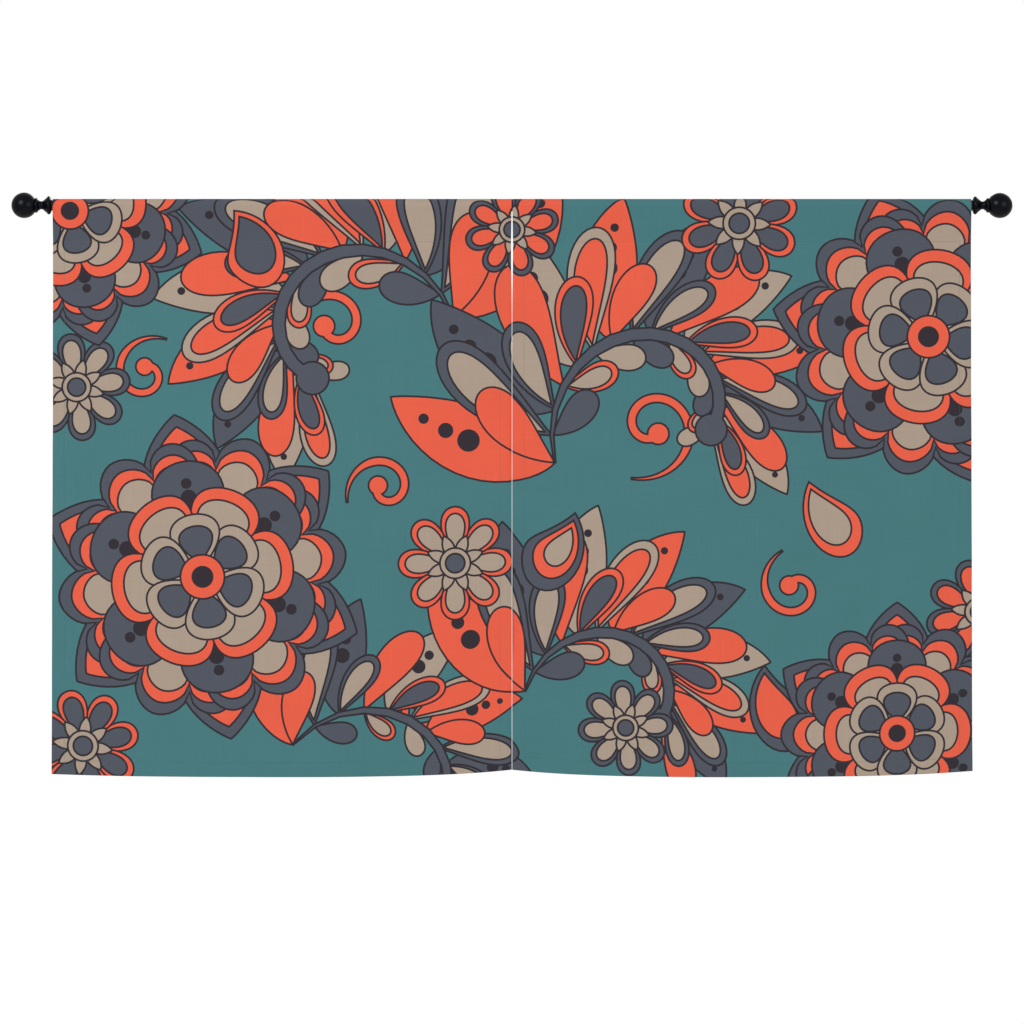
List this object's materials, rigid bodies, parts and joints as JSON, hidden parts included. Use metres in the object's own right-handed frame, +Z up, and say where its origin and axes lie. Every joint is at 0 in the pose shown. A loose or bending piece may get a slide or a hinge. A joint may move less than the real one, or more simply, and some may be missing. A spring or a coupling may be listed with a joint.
{
  "type": "window curtains on a rod",
  "caption": "Pair of printed rod-pocket tier curtains hanging side by side on a telescoping metal rod with ball finials.",
  "frame": {"origin": "on the rod's axis, midway between the two panels", "axes": "+X along the rod towards the telescoping end, -Y the way the printed faces look, +Z up"},
  "size_m": [1.5868, 0.0406, 0.9253],
  "materials": {
    "printed_cotton": "matte",
    "thread": "matte",
    "rod_black": "satin",
    "finial_black": "satin",
    "black_plastic": "matte",
    "stud_steel": "satin"
  },
  "bodies": {
    "rod_outer": {"rod_outer_tube": "rod_black", "telescope_sleeve": "black_plastic", "left_end_plug": "black_plastic"},
    "rod_inner": {"rod_inner_tube": "rod_black", "inner_tube_bush": "black_plastic", "right_end_plug": "black_plastic"},
    "left_finial": {"left_finial_neck": "finial_black", "left_finial_ball": "finial_black", "left_finial_stud": "stud_steel"},
    "left_panel": {"left_panel_outer_pocket_end": "printed_cotton", "left_panel_outer_side_hem": "printed_cotton", "left_panel_cloth": "printed_cotton", "left_panel_rod_pocket": "printed_cotton", "left_panel_bottom_hem": "printed_cotton", "left_panel_outer_side_stitching": "thread", "left_panel_pocket_stitching": "thread", "left_panel_bottom_hem_stitching": "thread"},
    "left_leading_edge": {"left_panel_inner_pocket_end": "printed_cotton", "left_panel_inner_side_hem": "printed_cotton", "left_panel_inner_side_stitching": "thread"},
    "right_finial": {"right_finial_neck": "finial_black", "right_finial_ball": "finial_black", "right_finial_stud": "stud_steel"},
    "right_panel": {"right_panel_outer_pocket_end": "printed_cotton", "right_panel_outer_side_hem": "printed_cotton", "right_panel_cloth": "printed_cotton", "right_panel_rod_pocket": "printed_cotton", "right_panel_bottom_hem": "printed_cotton", "right_panel_outer_side_stitching": "thread", "right_panel_pocket_stitching": "thread", "right_panel_bottom_hem_stitching": "thread"},
    "right_leading_edge": {"right_panel_inner_pocket_end": "printed_cotton", "right_panel_inner_side_hem": "printed_cotton", "right_panel_inner_side_stitching": "thread"}
  },
  "joints": [
    {"name": "rod_extend", "type": "slide", "parent": "rod_outer", "child": "rod_inner", "axis": [1, 0, 0], "range_m": [0, 0.6]},
    {"name": "left_finial_unscrew", "type": "hinge", "parent": "rod_outer", "child": "left_finial", "pos_m": [-0.7295, 0, 0], "axis": [-1, 0, 0], "range_deg": [0, 2880]},
    {"name": "left_panel_swing", "type": "hinge", "parent": "rod_outer", "child": "left_panel", "pos_m": [0, 0, 0], "axis": [1, 0, 0], "range_deg": [-60, 5]},
    {"name": "left_panel_draw", "type": "slide", "parent": "left_panel", "child": "left_leading_edge", "axis": [-1, 0, 0], "range_m": [0, 0.42], "deforming": ["left_panel_cloth", "left_panel_rod_pocket", "left_panel_bottom_hem", "left_panel_pocket_stitching", "left_panel_bottom_hem_stitching"]},
    {"name": "right_finial_unscrew", "type": "hinge", "parent": "rod_inner", "child": "right_finial", "pos_m": [0.7295, 0, 0], "axis": [1, 0, 0], "range_deg": [0, 2880]},
    {"name": "right_panel_swing", "type": "hinge", "parent": "rod_outer", "child": "right_panel", "pos_m": [0, 0, 0], "axis": [1, 0, 0], "range_deg": [-60, 5]},
    {"name": "right_panel_draw", "type": "slide", "parent": "right_panel", "child": "right_leading_edge", "axis": [1, 0, 0], "range_m": [0, 0.42], "deforming": ["right_panel_cloth", "right_panel_rod_pocket", "right_panel_bottom_hem", "right_panel_pocket_stitching", "right_panel_bottom_hem_stitching"]}
  ]
}
